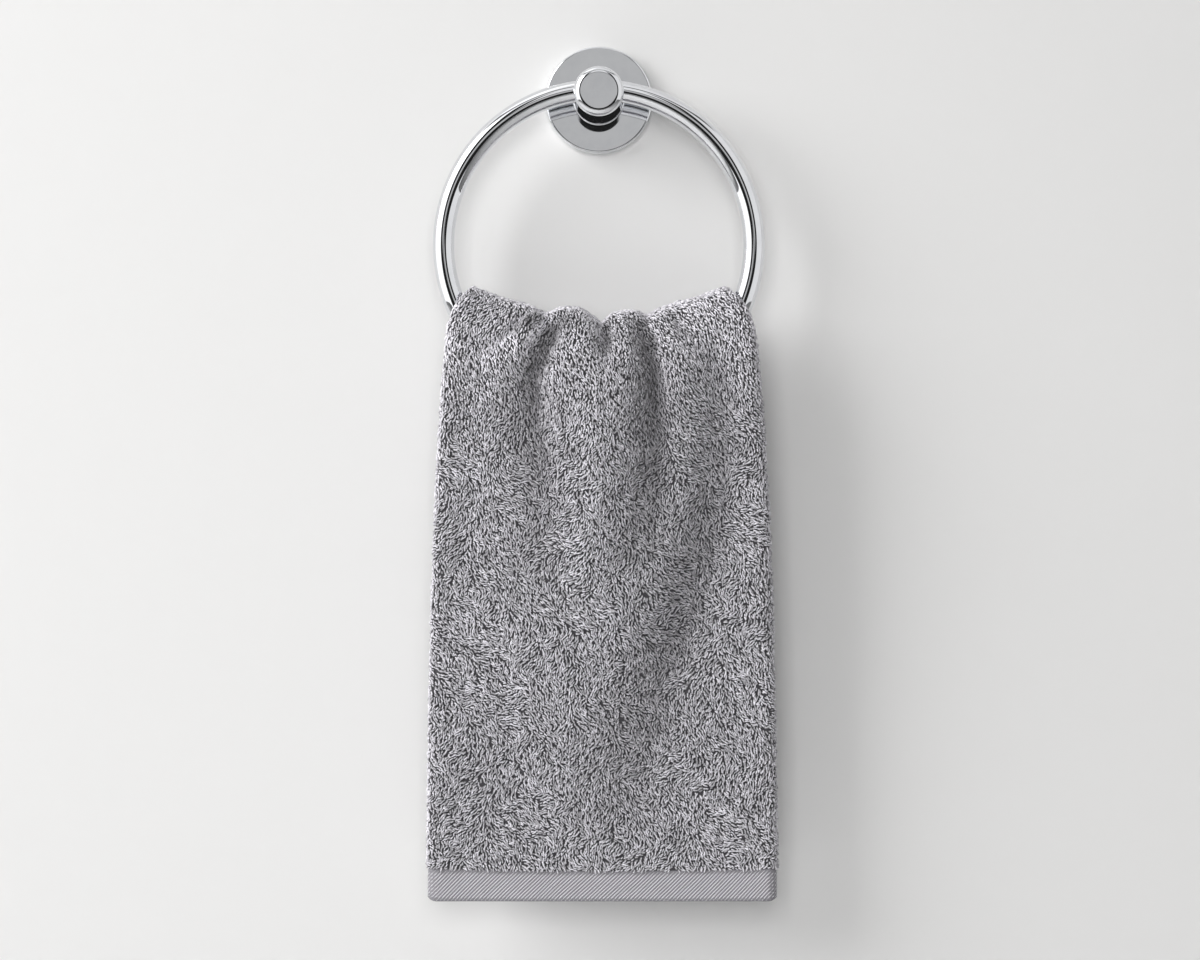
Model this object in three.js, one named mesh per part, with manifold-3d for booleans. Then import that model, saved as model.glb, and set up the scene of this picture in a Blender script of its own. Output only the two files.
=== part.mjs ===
// A terry hand towel hung through a round wall-mounted towel ring.
//
// Millimetres. +X is right and +Z is up, seen from the room; +Y points into the wall. The origin
// is the middle of the wall flange's back face. The towel's cut is 406 x 711: both long sides are
// folded to the back until they meet, and the folded strip is passed through the ring so that
// half of it hangs in front and half behind. It is one sheet of cloth, hems included.

import * as THREE from "three";
import { mergeVertices } from "three/addons/utils/BufferGeometryUtils.js";
import Module from "manifold-3d";

const wasm = await Module();
wasm.setup();

// Fitting sizes
const FLANGE = { radius: 31.5, depth: 9, bevel: 1.3 };
const POST = { radius: 14.5, front: 58, bevel: 4.2 };
const PIECE_GAP = 0.3;
const RING = { radius: 90, tube: 6.25, y: -42, z: -88 };

// Towel sizes
const PILE_THICKNESS = 5;
const PRESSED_THICKNESS = 3.2;
const PRESSED_NEAR = { from: 3, over: 10 };
const HEM_THICKNESS = 2.6;
const SELVEDGE_THICKNESS = 3.2;
const HEM_HEIGHT = 19.5;
const HEM_STEP = 1;
const FRONT_HEM_Z = -467;
const BACK_HEM_MIDDLE_Z = -467.5;
const PANEL_LENGTH = 330;
const LAYER_SPACING = 6;
const LAYER_SPREAD = { crest: 7, side: 9.4, hem: 7.4 };
const SEAT_GAP = 0.55;
const LAYERS_PRESSED_APART = 0.8;
const RING_PASS = 0.9;
const PANELS_CLOSE = { halfSpace: 4.2, from: 55, over: 160 };
const SELVEDGE_SHARE = 0.015;

// The top of the inner layer sags between its two ends.
const CREST = { middle: -142.5, rise: 21, halfWidth: 73, power: 1.9 };

// Half the towel's width: pinched where it passes the ring, then spreading down each panel.
const PINCHED_HALF_WIDTH = 78.4;
const SPREAD_LEFT = { start: 87.5, gain: 13.5, over: 130 };
const SPREAD_RIGHT = { start: 90, gain: 15, over: 125 };
const PINCH_LENGTH = { inner: 22, outer: 18 };

// Height of the towel's top from right to left: two rounded pleats with a dip between them, and
// a flatter wing on each side.
const TOP_LINE = [
  { x: 74, z: -112.4 },
  { x: 60, z: -117.2 },
  { x: 48, z: -120.4 },
  { x: 38, z: -124.2 },
  { x: 30, z: -127.6 },
  { x: 21, z: -125 },
  { x: 11, z: -126.8 },
  { x: 1, z: -132.6 },
  { x: -6, z: -127.8 },
  { x: -15, z: -123.6 },
  { x: -22, z: -123.2 },
  { x: -32, z: -126.2 },
  { x: -45, z: -121.6 },
  { x: -59, z: -117.8 },
  { x: -74, z: -112.4 },
];
const WING_RISE = 1;

// How far the front layer stands off the inner one, down the middle of the panel.
const FRONT_LOFT = [
  { z: -132, loft: 8 },
  { z: -147, loft: 13 },
  { z: -165, loft: 15 },
  { z: -197, loft: 14 },
  { z: -240, loft: 11.5 },
  { z: -297, loft: 8.6 },
  { z: -357, loft: 6 },
  { z: -407, loft: 4 },
  { z: -467, loft: 1.6 },
];
const BACK_LOFT = [
  { z: -147, loft: 4 },
  { z: -297, loft: 3 },
  { z: -457, loft: 1.4 },
];

// Creases of the front panel, each a soft trough that wanders down it, or a ridge where its
// depth is below 0.
const FRONT_CREASES = {
  leftWing: [
    { z: -122, x: -31, depth: 1.5, width: 4.6 },
    { z: -131, x: -37.5, depth: 9.5, width: 5 },
    { z: -138, x: -46.5, depth: 8, width: 6 },
    { z: -148, x: -59, depth: 2.5, width: 7.5 },
    { z: -156, x: -68, depth: 0, width: 8 },
  ],
  pleat: [
    { z: -122, x: -22, depth: 0, width: 5 },
    { z: -129, x: -29, depth: -4.2, width: 5 },
    { z: -138, x: -39.5, depth: -5.2, width: 6 },
    { z: -148, x: -51, depth: -3.8, width: 8 },
    { z: -164, x: -62, depth: 0, width: 9 },
  ],
  left: [
    { z: -124, x: -15, depth: 0, width: 6 },
    { z: -132, x: -18.5, depth: 8.5, width: 6.2 },
    { z: -143, x: -25.5, depth: 13.5, width: 7.2 },
    { z: -156, x: -32, depth: 13.2, width: 8.4 },
    { z: -168, x: -35.5, depth: 11.4, width: 9.8 },
    { z: -182, x: -35.5, depth: 9, width: 11 },
    { z: -205, x: -32.5, depth: 6.8, width: 12.5 },
    { z: -235, x: -30, depth: 4.8, width: 14 },
    { z: -270, x: -32, depth: 3.4, width: 17 },
    { z: -310, x: -36, depth: 0, width: 18 },
  ],
  middleRidge: [
    { z: -148, x: -5, depth: 0, width: 7 },
    { z: -172, x: -6, depth: -2, width: 8 },
    { z: -224, x: -4, depth: -2.5, width: 10 },
    { z: -276, x: -8, depth: -1.5, width: 12 },
    { z: -312, x: -12, depth: 0, width: 12 },
  ],
  middle: [
    { z: -121, x: 3.5, depth: 0, width: 5.2 },
    { z: -131, x: 4.5, depth: 10, width: 5 },
    { z: -142, x: 6, depth: 13, width: 5.6 },
    { z: -150, x: 6, depth: 8.5, width: 6.4 },
    { z: -158, x: 4.5, depth: 3.5, width: 7.5 },
    { z: -170, x: 2, depth: 0, width: 9 },
  ],
  right: [
    { z: -123, x: 22.5, depth: 0, width: 6 },
    { z: -132, x: 24, depth: 8.5, width: 6 },
    { z: -147, x: 29, depth: 12.4, width: 7.4 },
    { z: -164, x: 33, depth: 11.6, width: 9 },
    { z: -190, x: 33.5, depth: 9.2, width: 11 },
    { z: -237, x: 31, depth: 6.8, width: 14 },
    { z: -265, x: 26, depth: 4.4, width: 15 },
    { z: -300, x: 18, depth: 0, width: 16 },
  ],
  rightWing: [
    { z: -123, x: 40, depth: 0, width: 5.2 },
    { z: -132, x: 44, depth: 7, width: 5.4 },
    { z: -145, x: 49, depth: 3, width: 6.4 },
    { z: -157, x: 53, depth: 0, width: 7 },
  ],
  long: [
    { z: -133, x: 60, depth: 0, width: 8 },
    { z: -155, x: 67, depth: 4.2, width: 10 },
    { z: -190, x: 71, depth: 5, width: 11 },
    { z: -236, x: 67, depth: 6.2, width: 13 },
    { z: -265, x: 60, depth: 6.8, width: 14.5 },
    { z: -311, x: 46, depth: 6.4, width: 17 },
    { z: -357, x: 31, depth: 5.4, width: 19 },
    { z: -408, x: 20, depth: 3.2, width: 20 },
    { z: -450, x: 15, depth: 0, width: 20 },
  ],
  lowLeft: [
    { z: -327, x: -62, depth: 0, width: 14 },
    { z: -392, x: -54, depth: 1.8, width: 14 },
    { z: -437, x: -50, depth: 0, width: 14 },
  ],
};

// Creases of the back panel: the pleats run out a little way below the ring.
const BACK_CREASES = {
  left: [
    { z: -131, x: -30, depth: 1, width: 8 },
    { z: -172, x: -34, depth: 2.8, width: 11 },
    { z: -247, x: -38, depth: 0, width: 14 },
  ],
  middle: [
    { z: -131, x: 2, depth: 2.8, width: 7 },
    { z: -172, x: 4, depth: 3, width: 10 },
    { z: -287, x: 8, depth: 0, width: 15 },
  ],
  right: [
    { z: -131, x: 32, depth: 1, width: 8 },
    { z: -187, x: 40, depth: 2.4, width: 12 },
    { z: -267, x: 44, depth: 0, width: 14 },
  ],
};

// How wide each wall of a crease is, against its width above; the other creases are even.
const CREASE_WALLS = {
  leftWing: { left: 1, right: 0.75 },
  left: { left: 1.4, right: 0.75 },
  middle: { left: 1.1, right: 0.75 },
  right: { left: 1.35, right: 0.85 },
  long: { left: 1.3, right: 0.9 },
};
const EVEN_WALLS = { left: 1, right: 1 };

// Where the side folds, the creases and the top line begin and end. Turns are radians from the
// top, heights and widths are shares.
const SIDE_OPENS = { from: 0.4, over: 1.2 };
const CREASE_STARTS = { from: 0.3, over: 0.8 };
const LAYERS_PART = { from: 0, over: 1.2 };
const TOP_FADES = { above: 0, over: 13 };
const MIDDLE_LOFTS = { from: 0.2, over: 0.8 };
const EDGE_BLENDS = { from: 0.8, over: 0.2 };

// Mesh steps of the towel
const COLUMNS = { middle: 26, wings: 7, fold: 5, flap: 7, crowding: 1.5 };
const MIDDLE_SHARE = 0.52;
const ROWS = { front: 17, crest: 8, back: 11, crowding: 0.45 };

const clamp = THREE.MathUtils.clamp;
const lerp = THREE.MathUtils.lerp;
const smooth = (t) => THREE.MathUtils.smoothstep(t, 0, 1);
const easeIn = (value, { from, over }) => smooth((value - from) / over);
const QUARTER = Math.PI / 2;

// Reads one column of a table whose rows run down in another column, without overshooting.
function readTable(rows, key, at, column) {
  const last = rows.length - 1;
  if (at >= rows[0][key]) return rows[0][column];
  if (at <= rows[last][key]) return rows[last][column];
  const slope = (k) => {
    if (k < 0 || k >= last) return 0;
    return (rows[k + 1][column] - rows[k][column]) / (rows[k + 1][key] - rows[k][key]);
  };
  const tangent = (k) => {
    const before = slope(k - 1);
    const after = slope(k);
    return before * after > 0 ? (2 * before * after) / (before + after) : 0;
  };
  const i = rows.findIndex((row) => at > row[key]) - 1;
  const step = rows[i + 1][key] - rows[i][key];
  const t = (at - rows[i][key]) / step;
  const ease = t * t * (3 - 2 * t);
  const bend = step * t * (1 - t) * (tangent(i) * (1 - t) - tangent(i + 1) * t);
  return rows[i][column] * (1 - ease) + rows[i + 1][column] * ease + bend;
}

function creaseDepth(creases, x, z) {
  let depth = 0;
  for (const [name, rows] of Object.entries(creases)) {
    const off = x - readTable(rows, "z", z, "x");
    const walls = CREASE_WALLS[name] ?? EVEN_WALLS;
    const wall = readTable(rows, "z", z, "width") * (off < 0 ? walls.left : walls.right);
    depth += readTable(rows, "z", z, "depth") * Math.exp(-((off / wall) ** 2));
  }
  return depth;
}

const CREST_RADIUS = RING.tube + RING_PASS + PILE_THICKNESS / 2;

// A place along the cloth, from -1 at the front hem over the crest to 1 at the back hem: the turn
// from the crest in radians and the share of the way from there down to the hem.
const CREST_RUN = 0.075;
function stationAt(run) {
  const size = Math.abs(run);
  return {
    run,
    side: run < 0 ? -1 : 1,
    turn: Math.min(1, size / CREST_RUN) * QUARTER,
    down: Math.max(0, size - CREST_RUN) / (1 - CREST_RUN),
  };
}

// Half the folded strip's width at a depth below the crest. It is pinched inside the ring and let
// go over a length of cloth; "reach" is the cloth's length from the crest.
function sideAt(spread, drop, reach, pinchLength) {
  const full = spread.start + spread.gain * (1 - Math.exp(-drop / spread.over));
  return PINCHED_HALF_WIDTH + (full - PINCHED_HALF_WIDTH) * smooth(reach / pinchLength);
}

function crestHeight(x) {
  const share = Math.min(1, Math.abs(x) / CREST.halfWidth);
  return CREST.middle + CREST.rise * share ** CREST.power;
}

// Half the space between the inner layers of the two panels.
function standOff(drop) {
  return lerp(CREST_RADIUS, PANELS_CLOSE.halfSpace, easeIn(drop, PANELS_CLOSE));
}

// The front hem hangs level. Each thread along the towel has one length, so the back hem dips
// where the top does.
function hemHeight(isFront, top) {
  return isFront ? FRONT_HEM_Z : BACK_HEM_MIDDLE_Z + 2 * (top - CREST.middle);
}

// Space between the middles of the outer and inner layer at the side folds.
function sideSpread(station) {
  const opened = lerp(LAYER_SPREAD.crest, LAYER_SPREAD.side, easeIn(station.turn, SIDE_OPENS));
  return lerp(opened, LAYER_SPREAD.hem, station.down);
}

// One place of the inner layer; "across" runs from -1 to 1 over the folded strip.
function innerPlace(across, run) {
  const station = stationAt(run);
  const { side, turn, down } = station;
  const roll = (sideSpread(station) + PILE_THICKNESS) / 2;
  const top = crestHeight(across * CREST.halfWidth);
  const spring = top - CREST_RADIUS;
  const drop = down * (spring - hemHeight(side < 0, top));
  const reach = CREST_RADIUS * turn + drop;
  const left = sideAt(SPREAD_LEFT, drop, reach, PINCH_LENGTH.inner) - roll;
  const right = sideAt(SPREAD_RIGHT, drop, reach, PINCH_LENGTH.inner) - roll;
  return new THREE.Vector3(
    (right - left + across * (right + left)) / 2,
    RING.y + side * standOff(drop) * Math.sin(turn),
    spring + CREST_RADIUS * Math.cos(turn) - drop,
  );
}

function outward(across, run) {
  const step = 1e-4;
  const alongX = innerPlace(across + step, run).sub(innerPlace(across - step, run));
  const alongRun = innerPlace(across, run + step).sub(innerPlace(across, run - step));
  return alongX.cross(alongRun).normalize();
}

// How far the outer layer stands from the inner one.
function layerSpread(across, place, station) {
  const isFront = station.side < 0;
  const topLine = readTable(TOP_LINE, "x", place.x, "z") - PILE_THICKNESS / 2;
  const topRise = topLine - crestHeight(place.x) - LAYER_SPACING;
  const loft = readTable(isFront ? FRONT_LOFT : BACK_LOFT, "z", place.z, "loft");
  const panelRise = lerp(loft, WING_RISE, easeIn(Math.abs(across), MIDDLE_LOFTS));
  const fromTop = (CREST.middle + TOP_FADES.above - place.z) / TOP_FADES.over;
  const rise = lerp(topRise, panelRise, smooth(fromTop));
  const creases = isFront ? FRONT_CREASES : BACK_CREASES;
  const crease = creaseDepth(creases, place.x, place.z) * easeIn(station.turn, CREASE_STARTS);
  const open = LAYER_SPACING + Math.max(0, rise - crease);
  return lerp(open, sideSpread(station), easeIn(Math.abs(across), EDGE_BLENDS));
}

// The outer layer is let go sooner than the inner one.
function outerShift(across, station) {
  const reach = CREST_RADIUS * station.turn;
  const spread = across < 0 ? SPREAD_LEFT : SPREAD_RIGHT;
  const { inner, outer } = PINCH_LENGTH;
  if (station.down > 0) return 0;
  return across * (sideAt(spread, 0, reach, outer) - sideAt(spread, 0, reach, inner));
}

// The nearest place on the middle line of the ring's tube.
function ringMiddle(place) {
  const onRing = new THREE.Vector3(place.x, 0, place.z - RING.z).setLength(RING.radius);
  return new THREE.Vector3(onRing.x, RING.y, onRing.z + RING.z);
}

// Cloth that would touch the ring is pushed out, at least "padding" away from the metal.
function keepOffRing(place, padding) {
  const centre = ringMiddle(place);
  const away = place.clone().sub(centre);
  const least = RING.tube + padding;
  if (away.length() >= least) return place;
  return centre.add(away.setLength(least));
}

// The middle of the cloth at one column and run.
function clothPlace(column, run) {
  const station = stationAt(run);
  const inner = innerPlace(column.across, run);
  const firstLayer = SEAT_GAP + PRESSED_THICKNESS / 2;
  if (column.kind === "flap") return keepOffRing(inner, firstLayer);
  const spread = layerSpread(column.across, inner, station);
  const out = outward(column.across, run);
  const shift = new THREE.Vector3(outerShift(column.across, station), 0, 0);
  const between = (PRESSED_THICKNESS + LAYERS_PRESSED_APART) * easeIn(station.turn, LAYERS_PART);
  if (column.kind === "face")
    return keepOffRing(inner.addScaledVector(out, spread).add(shift), firstLayer + between);
  const share = (1 - Math.cos(column.angle)) / 2;
  const sideways = inner
    .clone()
    .sub(innerPlace(column.across * 0.99, run))
    .normalize();
  const place = inner
    .addScaledVector(out, spread * share)
    .addScaledVector(sideways, (spread / 2) * Math.sin(column.angle))
    .addScaledVector(shift, share);
  return keepOffRing(place, firstLayer + between * share);
}

// Columns across the whole cut: one selvedge, its flap and fold, the face, and the other fold,
// flap and selvedge. The face's columns are closer over its creased middle.
function clothColumns() {
  const half = [];
  const steps = COLUMNS.middle / 2;
  for (let i = 0; i < steps; i++)
    half.push({ kind: "face", across: ((i + 0.5) / steps) * MIDDLE_SHARE });
  for (let i = 1; i <= COLUMNS.wings; i++)
    half.push({ kind: "face", across: lerp(MIDDLE_SHARE, 1, i / COLUMNS.wings) });
  for (let i = 1; i < COLUMNS.fold; i++)
    half.push({ kind: "fold", across: 1, angle: Math.PI * (1 - i / COLUMNS.fold) });
  for (let i = 0; i <= COLUMNS.flap; i++) {
    const share = (i / COLUMNS.flap) ** COLUMNS.crowding;
    half.push({ kind: "flap", across: lerp(1, SELVEDGE_SHARE, share) });
  }
  const mirrored = half.map((column) => ({ ...column, across: -column.across })).reverse();
  return [...mirrored, ...half];
}

// Rows along the cloth, from the front hem to the back hem, closer near the crest.
function clothRuns() {
  const hemTop = 1 - ((1 - CREST_RUN) * HEM_HEIGHT) / PANEL_LENGTH;
  const hemStep = ((1 - CREST_RUN) * HEM_STEP) / PANEL_LENGTH;
  const panel = (count) => {
    const runs = [];
    for (let i = 0; i <= count; i++) {
      const share = i / count;
      const crowded = lerp(share, share * share, ROWS.crowding);
      runs.push(lerp(CREST_RUN, hemTop - 3 * hemStep, crowded));
    }
    return [...runs, hemTop, hemTop + hemStep, 1];
  };
  const crest = [];
  for (let i = 1; i < ROWS.crest; i++) crest.push(lerp(-CREST_RUN, CREST_RUN, i / ROWS.crest));
  const front = panel(ROWS.front).map((run) => -run);
  return [...front.reverse(), ...crest, ...panel(ROWS.back)];
}

// The pile stands full height in the open and is pressed down where the ring holds it.
function clothThickness(column, run, place) {
  const hemEdge = 1 - ((1 - CREST_RUN) * (HEM_HEIGHT - HEM_STEP / 2)) / PANEL_LENGTH;
  if (Math.abs(run) > hemEdge) return HEM_THICKNESS;
  if (Math.abs(column.across) <= SELVEDGE_SHARE + 1e-6) return SELVEDGE_THICKNESS;
  const fromRing = place.distanceTo(ringMiddle(place)) - RING.tube;
  return lerp(PRESSED_THICKNESS, PILE_THICKNESS, easeIn(fromRing, PRESSED_NEAR));
}

// Gives a grid of middle points its thickness, as one closed mesh.
function sheetGeometry(columns, runs) {
  const across = columns.length;
  const along = runs.length;
  const middle = runs.map((run) => columns.map((column) => clothPlace(column, run)));
  const at = (i, j) => middle[clamp(i, 0, along - 1)][clamp(j, 0, across - 1)];
  const positions = [];
  for (const face of [1, -1]) {
    for (let i = 0; i < along; i++) {
      for (let j = 0; j < across; j++) {
        const lengthways = at(i + 1, j).clone().sub(at(i - 1, j));
        const sideways = at(i, j + 1).clone().sub(at(i, j - 1));
        const normal = sideways.cross(lengthways).normalize();
        const half = clothThickness(columns[j], runs[i], at(i, j)) / 2;
        const surface = at(i, j).clone().addScaledVector(normal, face * half);
        positions.push(...keepOffRing(surface, SEAT_GAP).toArray());
      }
    }
  }
  const id = (face, i, j) => (face * along + i) * across + j;
  const index = [];
  const quad = (a, b, c, d) => index.push(a, b, c, a, c, d);
  for (let i = 0; i < along - 1; i++) {
    for (let j = 0; j < across - 1; j++) {
      quad(id(0, i, j), id(0, i, j + 1), id(0, i + 1, j + 1), id(0, i + 1, j));
      quad(id(1, i, j), id(1, i + 1, j), id(1, i + 1, j + 1), id(1, i, j + 1));
    }
  }
  for (let j = 0; j < across - 1; j++) {
    const last = along - 1;
    quad(id(0, 0, j), id(1, 0, j), id(1, 0, j + 1), id(0, 0, j + 1));
    quad(id(0, last, j), id(0, last, j + 1), id(1, last, j + 1), id(1, last, j));
  }
  for (let i = 0; i < along - 1; i++) {
    const last = across - 1;
    quad(id(0, i, 0), id(0, i + 1, 0), id(1, i + 1, 0), id(1, i, 0));
    quad(id(0, i, last), id(1, i, last), id(1, i + 1, last), id(0, i + 1, last));
  }
  const geometry = new THREE.BufferGeometry();
  geometry.setAttribute("position", new THREE.Float32BufferAttribute(positions, 3));
  geometry.setIndex(index);
  return geometry;
}

// A turned piece whose axis is +Y, from a profile of [radius, y].
function turned(profile, segments) {
  const points = profile.map(([radius, y]) => new THREE.Vector2(radius, y));
  return new THREE.LatheGeometry(points, segments);
}

function arcProfile(centreRadius, centreY, radius, from, to, steps) {
  const points = [];
  for (let i = 0; i <= steps; i++) {
    const angle = from + ((to - from) * i) / steps;
    points.push([centreRadius + radius * Math.cos(angle), centreY + radius * Math.sin(angle)]);
  }
  return points;
}

function solidOf(geometry) {
  const bare = geometry.index ? geometry.clone() : mergeVertices(geometry);
  bare.deleteAttribute("normal");
  bare.deleteAttribute("uv");
  const merged = mergeVertices(bare, 1e-4);
  return new wasm.Manifold(
    new wasm.Mesh({
      numProp: 3,
      vertProperties: merged.attributes.position.array,
      triVerts: new Uint32Array(merged.index.array),
    }),
  );
}

function geometryOf(solid) {
  const mesh = solid.getMesh();
  const geometry = new THREE.BufferGeometry();
  geometry.setAttribute("position", new THREE.BufferAttribute(mesh.vertProperties, 3));
  geometry.setIndex(new THREE.BufferAttribute(mesh.triVerts, 1));
  geometry.computeVertexNormals();
  return geometry;
}

function ringTorus(tube, aroundTube, aroundRing) {
  const torus = new THREE.TorusGeometry(RING.radius, tube, aroundTube, aroundRing);
  return torus.rotateX(Math.PI / 2).translate(0, RING.y, RING.z);
}

function flangeGeometry() {
  const { radius, depth, bevel } = FLANGE;
  return turned(
    [
      [0, -depth],
      ...arcProfile(radius - bevel, -depth + bevel, bevel, -Math.PI / 2, 0, 3),
      [radius, 0],
      [0, 0],
    ],
    64,
  );
}

function postGeometry() {
  const { radius, front, bevel } = POST;
  const back = -FLANGE.depth - PIECE_GAP;
  const body = turned(
    [
      [0, -front],
      ...arcProfile(radius - bevel, -front + bevel, bevel, -Math.PI / 2, 0, 6),
      [radius, back],
      [0, back],
    ],
    48,
  );
  const bore = ringTorus(RING.tube + PIECE_GAP, 20, 120);
  return geometryOf(solidOf(body).subtract(solidOf(bore)));
}

const chrome = new THREE.MeshStandardMaterial({
  color: 0xd6d8da,
  metalness: 1,
  roughness: 0.06,
});
const terry = new THREE.MeshStandardMaterial({
  color: 0x8e8d92,
  metalness: 0,
  roughness: 1,
});

function named(name, geometry, material) {
  const mesh = new THREE.Mesh(geometry, material);
  mesh.name = name;
  return mesh;
}

const part = new THREE.Group();
part.add(
  named("wall_flange", flangeGeometry(), chrome),
  named("post", postGeometry(), chrome),
  named("ring", ringTorus(RING.tube, 16, 72), chrome),
  named("hand_towel", sheetGeometry(clothColumns(), clothRuns()), terry),
);

export default part;
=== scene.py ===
"""A grey terry hand towel, folded lengthwise and hung through a chrome towel ring.

Metres, in the CAD model's frame: +X right, +Y into the wall, +Z up, origin at the middle of the
wall flange's back face. Lengths in the tables are millimetres.
"""

import math

import bmesh
import bpy
import numpy as np
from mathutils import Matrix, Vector


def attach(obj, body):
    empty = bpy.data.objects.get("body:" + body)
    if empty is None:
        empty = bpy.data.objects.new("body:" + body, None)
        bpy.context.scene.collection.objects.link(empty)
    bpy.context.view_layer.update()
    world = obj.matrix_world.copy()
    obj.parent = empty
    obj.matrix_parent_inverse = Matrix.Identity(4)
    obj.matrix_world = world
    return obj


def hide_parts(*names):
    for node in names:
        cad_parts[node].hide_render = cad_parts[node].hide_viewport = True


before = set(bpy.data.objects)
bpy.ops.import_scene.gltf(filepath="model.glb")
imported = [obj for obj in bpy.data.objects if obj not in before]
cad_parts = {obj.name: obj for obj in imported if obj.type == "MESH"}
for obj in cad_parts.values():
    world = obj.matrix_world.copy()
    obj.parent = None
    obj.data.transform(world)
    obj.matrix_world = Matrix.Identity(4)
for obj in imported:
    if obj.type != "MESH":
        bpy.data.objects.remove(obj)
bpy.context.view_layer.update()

MM = 0.001

# Fitting, mm.
FLANGE = {"radius": 31.5, "depth": 9.0, "edge": 1.3, "back_edge": 0.4}
POST = {"radius": 14.5, "front": 58.0, "edge": 4.2, "back": 9.3, "fillet": 0.7}
RING = {"radius": 90.0, "tube": 6.25, "y": -42.0, "z": -88.0}
PIECE_GAP = 0.3
# How far inside a rounded edge a flat front ends, so that its shading stays flat.
FLAT_RIM = 0.05
SHARP_EDGE_DEGREES = 25

# Towel, mm.
PILE_THICKNESS = 5.0
PRESSED_THICKNESS = 3.2
PRESSED_NEAR = (3.0, 10.0)
HEM_THICKNESS = 2.6
GROUND_THICKNESS = 1.7
HEM_HEIGHT = 19.5
HEM_STEP = 1.0
PANEL_LENGTH = 330.0
LAYER_SPACING = 6.0
FRONT_HEM_Z = -467.0
BACK_HEM_MIDDLE_Z = -467.5
LAYER_SPREAD = {"crest": 7.0, "side": 9.4, "hem": 7.4}
SEAT_GAP = 0.55
LAYERS_PRESSED_APART = 0.8
RING_PASS = 0.9
PANELS_CLOSE = {"half_space": 4.2, "from": 55.0, "over": 160.0}
SELVEDGE_SHARE = 0.015
CREST = {"middle": -142.5, "rise": 21.0, "half_width": 73.0, "power": 1.9}
PINCHED_HALF_WIDTH = 78.4
# A side's half width at the crest, what it gains on the way down, and over what drop.
SPREAD_LEFT = (87.5, 13.5, 130.0)
SPREAD_RIGHT = (90.0, 15.0, 125.0)
PINCH_LENGTH = {"inner": 22.0, "outer": 18.0}
WING_RISE = 1.0
CREST_RUN = 0.075
FOLD_SQUARE = 0.6
HEM_CORNER = {"lift": 2.2, "from_end": 3.5}
QUARTER = math.pi / 2

# Where one rule gives way to the next, as start and over: by the turn from the crest in radians,
# or by the share of the way across. The top line gives way by the drop below it, mm.
SIDE_OPENS = (0.4, 1.2)
CREASE_STARTS = (0.3, 0.8)
LAYERS_PART = (0.0, 1.2)
FOLD_ROUNDS = (0.5, 1.0)
MIDDLE_LOFTS = (0.2, 0.8)
EDGE_BLENDS = (0.8, 0.2)
TOP_FADES_OVER = 13.0

# The cloth's mesh: columns of half its width, rows of each part of its length, and how much
# closer the flap's columns stand at the fold and a panel's rows at the top.
COLUMNS = {"face": 44, "fold": 8, "flap": 12}
ROWS = {"front": 84, "crest": 22, "back": 56, "hem": 9}
FLAP_CROWDING = 1.5
PANEL_CROWDING = 0.45

# Height of the towel's top from right to left: x, z.
TOP_LINE = [
    (74, -112.4), (60, -117.2), (48, -120.4), (38, -124.2), (30, -127.6), (21, -125),
    (11, -126.8), (1, -132.6), (-6, -127.8), (-15, -123.6), (-22, -123.2), (-32, -126.2),
    (-45, -121.6), (-59, -117.8), (-74, -112.4),
]

# How far each outer layer stands off the inner one down its middle: z, loft.
FRONT_LOFT = [
    (-132, 8), (-147, 13), (-165, 15), (-197, 14), (-240, 11.5), (-297, 8.6), (-357, 6),
    (-407, 4), (-467, 1.6),
]
BACK_LOFT = [(-147, 4), (-297, 3), (-457, 1.4)]

# Creases, each a soft trough down a panel, or a ridge where its depth is below 0:
# z, x, depth, width.
FRONT_CREASES = {
    "left_wing": [
        (-122, -31, 1.5, 4.6), (-131, -37.5, 9.5, 5), (-138, -46.5, 8, 6),
        (-148, -59, 2.5, 7.5), (-156, -68, 0, 8),
    ],
    "pleat": [
        (-122, -22, 0, 5), (-129, -29, -4.2, 5), (-138, -39.5, -5.2, 6), (-148, -51, -3.8, 8),
        (-164, -62, 0, 9),
    ],
    "left": [
        (-124, -15, 0, 6), (-132, -18.5, 8.5, 6.2), (-143, -25.5, 13.5, 7.2),
        (-156, -32, 13.2, 8.4), (-168, -35.5, 11.4, 9.8), (-182, -35.5, 9, 11),
        (-205, -32.5, 6.8, 12.5), (-235, -30, 4.8, 14), (-270, -32, 3.4, 17),
        (-310, -36, 0, 18),
    ],
    "middle_ridge": [
        (-148, -5, 0, 7), (-172, -6, -2, 8), (-224, -4, -2.5, 10), (-276, -8, -1.5, 12),
        (-312, -12, 0, 12),
    ],
    "middle": [
        (-121, 3.5, 0, 5.2), (-131, 4.5, 10, 5), (-142, 6, 13, 5.6), (-150, 6, 8.5, 6.4),
        (-158, 4.5, 3.5, 7.5), (-170, 2, 0, 9),
    ],
    "right": [
        (-123, 22.5, 0, 6), (-132, 24, 8.5, 6), (-147, 29, 12.4, 7.4), (-164, 33, 11.6, 9),
        (-190, 33.5, 9.2, 11), (-237, 31, 6.8, 14), (-265, 26, 4.4, 15), (-300, 18, 0, 16),
    ],
    "right_wing": [
        (-123, 40, 0, 5.2), (-132, 44, 7, 5.4), (-145, 49, 3, 6.4), (-157, 53, 0, 7),
    ],
    "long": [
        (-133, 60, 0, 8), (-155, 67, 4.2, 10), (-190, 71, 5, 11), (-236, 67, 6.2, 13),
        (-265, 60, 6.8, 14.5), (-311, 46, 6.4, 17), (-357, 31, 5.4, 19), (-408, 20, 3.2, 20),
        (-450, 15, 0, 20),
    ],
    "low_left": [(-327, -62, 0, 14), (-392, -54, 1.8, 14), (-437, -50, 0, 14)],
}
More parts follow.
